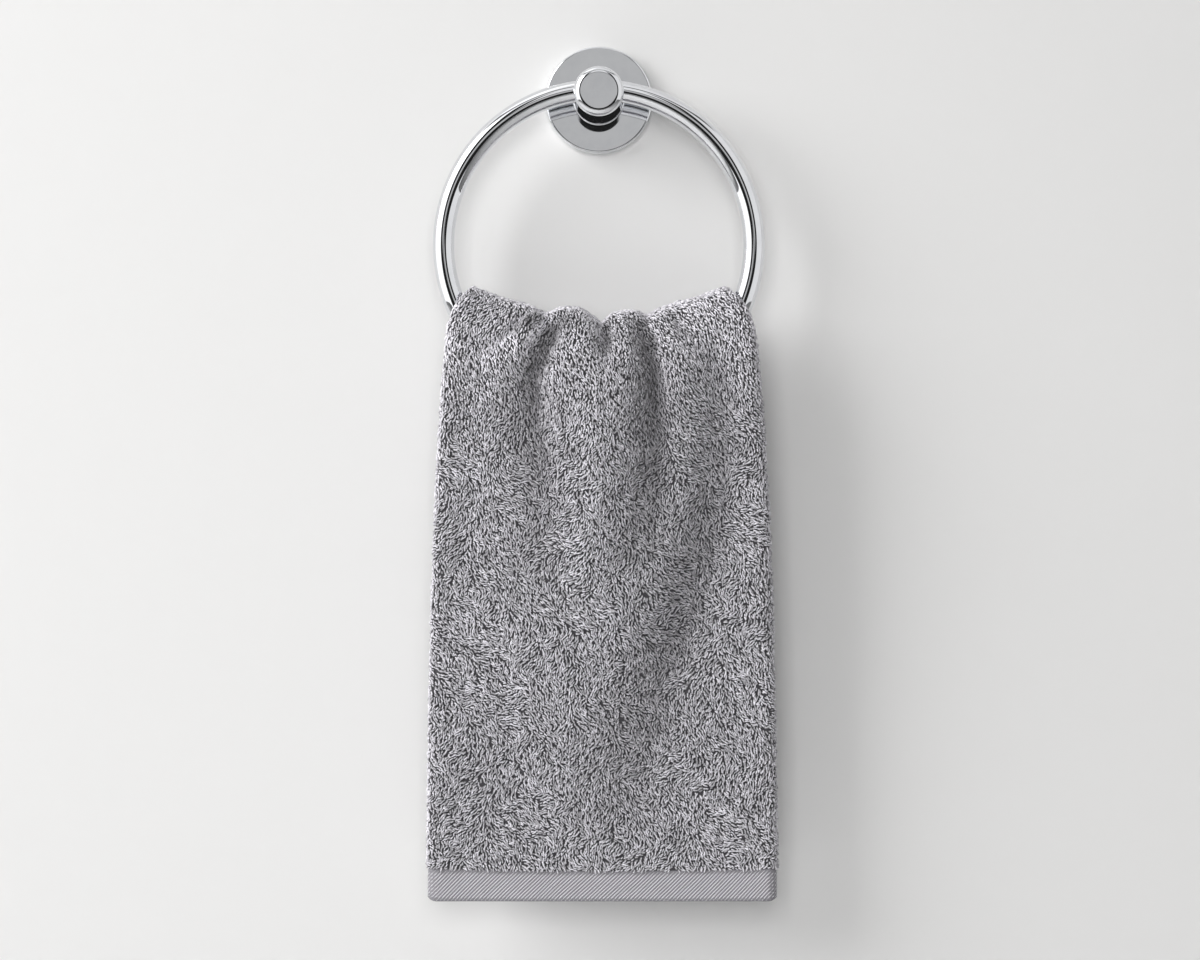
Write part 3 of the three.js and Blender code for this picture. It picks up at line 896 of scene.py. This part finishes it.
def loop_turn(tree, place, value):
    """How far each loop turns from the nap, in radians, and how far it stands from a crack
    between clumps."""
    bent = tree.scaled_sum(tree.noise(place, 120.0, 1.0, output=1), CLUMP_BEND, place)
    cells = {"Vector": bent, "Scale": 1.0 / value["Clump size"]}
    clump = tree.node("ShaderNodeTexVoronoi", {"feature": "F1"}, cells, output=1)
    cell_turn = tree.parts(clump)[0] - 0.5
    border = tree.node("ShaderNodeTexVoronoi", {"feature": "DISTANCE_TO_EDGE"}, cells)
    closed = 1.1 * tree.noise(place, 70.0, 1.0).step(0.42, 0.62)
    from_crack = border * value["Clump size"] * 1000.0 + closed
    swirl = (tree.noise(place, 1.0 / value["Swirl size"], 1.5) - 0.5) * value["Swirl"]
    ruffle = tree.random(-1.0, 1.0, 11) * value["Ruffle"]
    turn = (swirl + cell_turn * value["Clump turn"]) * (1.0 - tree.carried("calm")) + ruffle
    return turn, from_crack


def pile_tree(material):
    """Loops set close over a patch of cloth. They lean along its nap, turned a little by slow
    swirls and by clump, and part in cracks between clumps."""
    inputs = {"Loop": "Object", "Spacing": "Float", "Loop width": "Float", "Seed": "Int"}
    group, tree, value = open_group("terry_loops", {**inputs, **dict.fromkeys(NAP, "Float")})
    sockets = {
        "Mesh": value["Geometry"],
        "Distance Min": value["Spacing"],
        "Density Max": MOST_LOOPS,
        "Seed": value["Seed"],
    }
    way = {"distribute_method": "POISSON"}
    scatter = tree.node("GeometryNodeDistributePointsOnFaces", way, sockets, output=None)
    normal = Link(tree, scatter.outputs["Normal"])
    turn, from_crack = loop_turn(tree, tree.node("GeometryNodeInputPosition"), value)
    sockets = {"Vector": tree.carried("nap", "FLOAT_VECTOR"), "Axis": normal, "Angle": turn}
    lean = tree.node("ShaderNodeVectorRotate", {}, sockets)
    stand = tree.node(
        "FunctionNodeAxesToRotation",
        {"primary_axis": "Z", "secondary_axis": "Y"},
        {"Primary Axis": normal, "Secondary Axis": lean},
    )
    tall = 0.42 + 0.58 * from_crack.step(0.0, 1.1)
    measures = {
        0: tree.random(0.8, 1.25, 3) * value["Loop width"],
        1: tree.random(0.65, 1.2, 5) * value["Loop width"],
        2: tree.carried("pile") * tall * tree.random(0.72, 1.2, 7),
    }
    size = tree.node("ShaderNodeCombineXYZ", {}, measures)
    source = {"Object": value["Loop"], "As Instance": True}
    shape = tree.node("GeometryNodeObjectInfo", {}, source, output="Geometry")
    bounds = {0: from_crack, 1: tree.random(-0.04, 0.1, 19)}
    kept = tree.node("FunctionNodeCompare", {"operation": "GREATER_THAN"}, bounds)
    sockets = {
        "Points": Link(tree, scatter.outputs["Points"]),
        "Selection": kept,
        "Instance": shape,
        "Rotation": stand,
        "Scale": size,
    }
    loops = tree.node("GeometryNodeInstanceOnPoints", {}, sockets)
    toned = tree.node(
        "GeometryNodeStoreNamedAttribute",
        {"data_type": "FLOAT", "domain": "INSTANCE"},
        {"Geometry": loops, "Name": "tone", "Value": tree.random(0.0, 1.0, 17)},
    )
    real = tree.node("GeometryNodeRealizeInstances", {}, {"Geometry": toned})
    close_group(tree, real, material)
    return group


def laid_on_cloth(tree, flat, cloth):
    """Moves flat points, whose X and Y are a place on the cut, onto the cloth and off it by Z."""
    place = tree.node("GeometryNodeInputPosition")
    source = tree.node("GeometryNodeObjectInfo", {}, {"Object": cloth}, output="Geometry")
    cut_map = tree.carried("cut", "FLOAT_VECTOR")
    kept = tree.node(
        "GeometryNodeStoreNamedAttribute",
        {"data_type": "FLOAT_VECTOR", "domain": "POINT"},
        {"Geometry": flat, "Name": "flat_place", "Value": place},
    )

    def sample(kind):
        return tree.node(
            "GeometryNodeSampleUVSurface",
            {"data_type": "FLOAT_VECTOR"},
            {"Mesh": source, "Value": tree.node(kind), "UV Map": cut_map, "Sample UV": place},
        )

    up = tree.parts(place)[2]
    lift = tree.node("ShaderNodeCombineXYZ", {}, {0: up, 1: up, 2: up})
    normal, spot = (sample("GeometryNodeInput" + what) for what in ("Normal", "Position"))
    moved = tree.scaled_sum(normal, lift, spot)
    return tree.node("GeometryNodeSetPosition", {}, {"Geometry": kept, "Position": moved})


def repeat_tree(name, material):
    """One flat shape repeated in a row along the cut's width, then laid on the cloth."""
    inputs = {"Cloth": "Object", "Pitch": "Float", "Count": "Int", "Start": "Vector"}
    group, tree, value = open_group(name, inputs)
    step = tree.node("ShaderNodeCombineXYZ", {}, {0: value["Pitch"]})
    sockets = {"Count": value["Count"], "Start Location": value["Start"], "Offset": step}
    row = tree.node("GeometryNodeMeshLine", {}, sockets)
    sockets = {"Points": row, "Instance": value["Geometry"]}
    each = tree.node("GeometryNodeInstanceOnPoints", {}, sockets)
    flat = tree.node("GeometryNodeRealizeInstances", {}, {"Geometry": each})
    close_group(tree, laid_on_cloth(tree, flat, value["Cloth"]), material)
    return group


def swept(name, sections, material):
    """A closed piece through a row of sections that all have the same number of points."""
    sides = len(sections[0])
    last = sides * (len(sections) - 1)
    faces = [tuple(reversed(range(sides)))]
    for start in range(0, last, sides):
        for k in range(sides):
            n = (k + 1) % sides
            faces.append((start + k, start + n, start + sides + n, start + sides + k))
    faces.append(tuple(range(last, last + sides)))
    points = [point for section in sections for point in section]
    return facing_out(new_piece(name, points, faces, material))


def flat_rib(height, material):
    """One twill rib of a hem, flat, leaning 45 degrees: three-sided, tapered at both ends."""
    steps = 8
    side, rise, foot = TWILL["width"] * MM / math.sqrt(2), TWILL["rise"] * MM, -0.1 * MM
    sections = []
    for i in range(steps + 1):
        v = height * i / steps * MM
        end = RIB_TAPER if i in (0, steps) else 1.0
        sections.append([(v - side * end, v, foot), (v, v, rise * end), (v + side * end, v, foot)])
    return swept("rib", sections, material)


def flat_stitch(material):
    """One stitch of the edge seam, flat: a short leaning thread that dips at both ends."""
    length, radius = STITCH["length"] * MM, STITCH["radius"] * MM
    corners = [math.pi * (0.25 + k / 2) for k in range(4)]
    sections = []
    for share in (0, 0.25, 0.5, 0.75, 1):
        lean = 0.35 * length * (share - 0.5)
        lift = radius * (1.1 * math.sin(math.pi * share) - 0.35)
        middle = np.array([lean, length * share, lift])
        sections.append([middle + (radius * math.cos(a), 0, radius * math.sin(a)) for a in corners])
    return swept("stitch", sections, material)


def laid_row(name, piece, tree, cloth, pitch, length, start):
    """A row of copies of a flat piece, laid on the cloth from a place on its cut."""
    count, (u, v) = int(length / pitch), start
    sizes = {"Cloth": cloth, "Pitch": pitch * MM, "Count": count, "Start": (u * MM, v * MM, 0)}
    node_modifier(piece, tree, sizes)
    return made_plain(piece, name)


def make_hems(cloth, u, v, first_pile, last_pile):
    """Twill ribs and an edge seam on both hems, outer side."""
    twill, thread = twill_finish(), thread_finish()
    ribs = repeat_tree("twill_ribs", twill)
    seam = repeat_tree("edge_seam", thread)
    width = u[-1] - u[0]
    inset, ends, side = TWILL["inset"], TWILL["ends"], STITCH["from_side"]
    made = []
    for name, low, high, edge in (
        ("front", v[0], v[first_pile] - 1.0, v[0] + STITCH["from_edge"]),
        ("back", v[last_pile] + 1.0, v[-1], v[-1] - STITCH["length"] - STITCH["from_edge"]),
    ):
        height = high - low - 2 * inset
        length, at = width - 2 * ends - height, (u[0] + ends, low + inset)
        rib = flat_rib(height, twill)
        made.append(laid_row("twill_" + name, rib, ribs, cloth, TWILL["pitch"], length, at))
        length, at = width - 2 * side, (u[0] + side, edge)
        stitch = flat_stitch(thread)
        made.append(laid_row("seam_" + name, stitch, seam, cloth, STITCH["pitch"], length, at))
    return made


def patch(surface, nap, values, rows, columns, material):
    """A part of the cloth's outer surface for loops to stand on."""
    part = surface[rows, columns] * MM
    along, across = part.shape[:2]
    ids = np.arange(along * across).reshape(along, across)
    faces = np.stack([ids[:-1, :-1], ids[:-1, 1:], ids[1:, 1:], ids[1:, :-1]], axis=-1)
    piece = new_piece("patch", part.reshape(-1, 3), faces.reshape(-1, 4).tolist(), material)
    carry(piece, "nap", nap[rows, columns], "FLOAT_VECTOR")
    for label, value in values.items():
        carry(piece, label, value[rows, columns])
    return piece


def pile_bands(runs, middle, first, last):
    """The rows of each band of pile, from hem to hem. A band's last row is the next one's first."""
    cuts = [first]
    cuts += [int(np.argmax(middle > z)) for z in FRONT_BANDS.values()]
    cuts.append(int(np.argmax(runs > CREST_RUN * CREST_BAND_END)))
    behind = np.where(runs > CREST_RUN, middle, 0)
    cuts += [int(np.argmax(behind < z)) for z in BACK_BANDS.values()]
    cuts.append(last)
    names = (*FRONT_BANDS, "crest", *BACK_BANDS, "back_hem")
    return {name: slice(low, high + 1) for name, low, high in zip(names, cuts, cuts[1:])}


def nap_direction(places, runs):
    """The loops lean down each panel, and turn from one way to the other over the crest."""
    turn = (smooth(runs / CREST_RUN + 0.5) * math.pi)[:, None, None]
    lengthways, sideways = (unit(np.gradient(places, axis=n)) for n in (0, 1))
    return unit(sideways * np.sin(turn) - lengthways * np.cos(turn))


def make_pile(columns, runs, places, normals, thickness, ground, pile_rows):
    """Loops on the outer side of the face, folds and flap edges, in bands from hem to hem."""
    surface = places + normals * ground[..., None] / 2
    nap = nap_direction(places, runs)
    x, z = places[..., 0], places[..., 2]
    depth = panel_creases(runs[:, None] < 0, x, z)
    # Painted shade in the creases and painted light on the ridges, carried to the pile's colour.
    painted_fold_shade = np.clip(depth / FULL_PAINTED_SHADE_DEPTH, RIDGE_PAINTED_LIGHT, 1)
    values = {
        "pile": np.maximum(LEAST_PILE, (thickness - ground) / 2 + PILE_OVERLAP) * MM,
        "calm": np.clip((z - CALM_ABOVE[0]) / CALM_ABOVE[1], 0, MOST_CALM),
        "painted_fold_shade": painted_fold_shade * ease_in(np.abs(runs)[:, None], *PAINTED_SHADE_STARTS),
    }
    finish = pile_finish()
    loop = pile_loop(finish)
    tree = pile_tree(finish)
    bands = []
    middle = places[:, len(columns) // 2, 2]
    for n, (name, rows) in enumerate(pile_bands(runs, middle, *pile_rows).items()):
        side = COLUMNS["flap"] + (BARE_CREST_COLUMNS if name == "crest" else -LOOPED_FLAP_COLUMNS)
        piece = patch(surface, nap, values, rows, slice(side, len(columns) - side), finish)
        spacing = LOOP_SPACING[name.split("_")[0]]
        sizes = {
            "Loop": loop,
            "Spacing": spacing * MM,
            "Loop width": spacing / LOOP_SPACING["front"],
            "Seed": 20 + n,
            **NAP,
        }
        node_modifier(piece, tree, sizes)
        bands.append(made_plain(piece, "pile_" + name))
    bpy.data.objects.remove(loop)
    return bands


def map_cut(cloth, shape, u, v):
    """Maps the cloth to its flat cut. The inner side's map lies clear of the outer side's."""
    flat_u = np.tile(np.broadcast_to(u[None, :], shape).reshape(-1), 2) * MM
    flat_v = np.tile(np.broadcast_to(v[:, None], shape).reshape(-1), 2) * MM
    corner = np.empty(len(cloth.data.loops), dtype=np.int64)
    cloth.data.loops.foreach_get("vertex_index", corner)
    side = (shape[0] - 1) * (shape[1] - 1) * 4
    clear = np.zeros(len(corner))
    clear[side : 2 * side] = 1.0
    layer = cloth.data.uv_layers.new(name="cut")
    flat = np.stack([flat_u[corner] + clear, flat_v[corner]], axis=1)
    layer.data.foreach_set("uv", flat.reshape(-1))


def make_towel():
    columns = cloth_columns(**COLUMNS)
    runs = cloth_runs(**ROWS)
    places = cloth_grid(columns, runs)
    normals = grid_normals(places)
    thickness, hem = cloth_thickness(columns, runs, places)
    ground = np.where(hem > 0, HEM_THICKNESS, GROUND_THICKNESS)
    u, v = grid_lengths(places)
    first_pile, last_pile = np.flatnonzero(hem[:, 0] == 0)[[0, -1]]
    flap = u[COLUMNS["flap"] - LOOPED_FLAP_COLUMNS]
    finish = cloth_finish(v[first_pile] - 0.5, v[last_pile] + 0.5, u[-1], flap)
    cloth = new_piece("towel_cloth", *closed_sheet(places, normals, ground), finish)
    map_cut(cloth, places.shape[:2], u, v)
    pile = make_pile(columns, runs, places, normals, thickness, ground, (first_pile, last_pile))
    return cloth, pile + make_hems(cloth, u, v, first_pile, last_pile)


# Stage.


def make_camera():
    data = bpy.data.cameras.new("photo_view")
    data.lens = CAMERA["lens"]
    camera = bpy.data.objects.new("photo_view", data)
    camera.location = CAMERA["place"]
    camera.rotation_euler = (QUARTER, 0, 0)
    bpy.context.scene.collection.objects.link(camera)
    bpy.context.scene.camera = camera


def make_stage():
    """A wall that is seen only from its front, and a floor."""
    side, y, low, top = (STAGE[key] for key in ("half_width", "wall_y", "floor_z", "top"))
    front, back = STAGE["from"], STAGE["to"]

    wall_finish, tree = new_material("pale_wall")
    backing = tree.node("ShaderNodeNewGeometry", output="Backfacing")
    seen = tree.node("ShaderNodeBsdfDiffuse", {}, {"Color": WALL_GREY})
    unseen = tree.node("ShaderNodeBsdfTransparent")
    shader = tree.node("ShaderNodeMixShader", {}, {0: backing, 1: seen, 2: unseen})
    tree.node("ShaderNodeOutputMaterial", {}, {"Surface": shader}, output=None)
    corners = [(-side, y, low), (side, y, low), (side, y, top), (-side, y, top)]
    wall = new_piece("stage_backdrop", corners, [(0, 1, 2, 3)], wall_finish)

    floor_finish, tree = new_material("pale_floor")
    shader = tree.node("ShaderNodeBsdfDiffuse", {}, {"Color": FLOOR_GREY})
    tree.node("ShaderNodeOutputMaterial", {}, {"Surface": shader}, output=None)
    corners = [(-side, front, low), (side, front, low), (side, back, low), (-side, back, low)]
    floor = new_piece("stage_floor", corners, [(0, 1, 2, 3)], floor_finish)


def make_lamps():
    for name, given in LAMPS.items():
        data = bpy.data.lights.new(name, "AREA")
        data.size = given["size"]
        data.energy = given["power"]
        data.color = LAMP_COLOUR
        lamp = bpy.data.objects.new(name, data)
        lamp.location = given["place"]
        direction = Vector(LAMP_AIM) - Vector(given["place"])
        lamp.rotation_euler = direction.to_track_quat("-Z", "Y").to_euler()
        lamp.visible_glossy = given["mirrored"]
        bpy.context.scene.collection.objects.link(lamp)


def mirrored_room(tree, ray):
    """How bright the room is that the chrome mirrors: a grey opening in a dark frame, with
    bright panels beyond it. Places in it are in degrees from straight ahead."""
    x, y, z = tree.parts(ray)
    turn = x.math("ARCTAN2", x, y * -1.0) * (180 / math.pi)
    rise = x.math("ARCSINE", z) * (180 / math.pi)
    wide = turn.math("ABSOLUTE", turn)
    left = 1 - turn.step(-12, 12)
    bars = wide.band((11, 13.5), (26, 29)) * rise.band((-24, -20), (36, 42))
    below = rise.band((-42, -36), (3, 4.6)) * (1 - wide.step(24, 29))
    lintel = rise.band((15, 17), (20, 22)) * (1 - wide.step(24, 28)) * 0.8
    rail = rise.band((45, 48), (53, 56)) * (1 - wide.step(70, 90)) * 0.9
    open_share = (1 - bars) * (1 - below) * (1 - lintel) * (1 - rail)
    panels = wide.step(27, 31) * (0.35 + 0.5 * left)
    above = rise.step(20, 24) * (1 - wide.step(27, 31)) * 0.4
    return (0.54 + panels + above) * (0.03 + 0.97 * open_share)


def make_world():
    world = bpy.data.worlds.new("studio")
    bpy.context.scene.world = world
    world.use_nodes = True
    tree = Tree(world.node_tree)
    ray = tree.node("ShaderNodeTexCoord", output="Generated")
    white = (1, 1, 1)
    room = tree.tint(white, mirrored_room(tree, ray))
    mirrored = tree.node("ShaderNodeBackground", {}, {"Color": room})

    # What lights cloth and wall: soft, a little brighter from the left and above.
    x, _, z = tree.parts(ray)
    glow = tree.tint(white, 0.12 - 0.08 * x + 0.04 * z)
    soft = tree.node("ShaderNodeBackground", {}, {"Color": glow})
    pale = tree.node("ShaderNodeBackground", {}, {"Color": SKY_GREY})
    path = tree.node("ShaderNodeLightPath", output=None)
    glossy, camera = (Link(tree, path.outputs[f"Is {kind} Ray"]) for kind in ("Glossy", "Camera"))
    lit = tree.node("ShaderNodeMixShader", {}, {0: glossy, 1: soft, 2: mirrored})
    both = tree.node("ShaderNodeMixShader", {}, {0: camera, 1: lit, 2: pale})
    tree.node("ShaderNodeOutputWorld", {}, {"Surface": both}, output=None)


bpy.context.scene.view_settings.view_transform = "Standard"
make_camera()
make_stage()
make_lamps()
make_world()

chrome = chrome_finish()
flange_disc = make_flange(chrome)
post_bar = make_post(chrome)
ring_tube = torus("ring_tube", RING["tube"], 256, 40, chrome)
towel_cloth, pile_pieces = make_towel()

for piece, node, slot in (
    (flange_disc, "wall_flange", "polished_metal"),
    (post_bar, "post", "polished_metal"),
    (ring_tube, "ring", "polished_metal"),
    (towel_cloth, "hand_towel", "terry_cloth"),
):
    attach(piece, "root")
    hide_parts(node)
for piece in pile_pieces:
    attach(piece, "root")
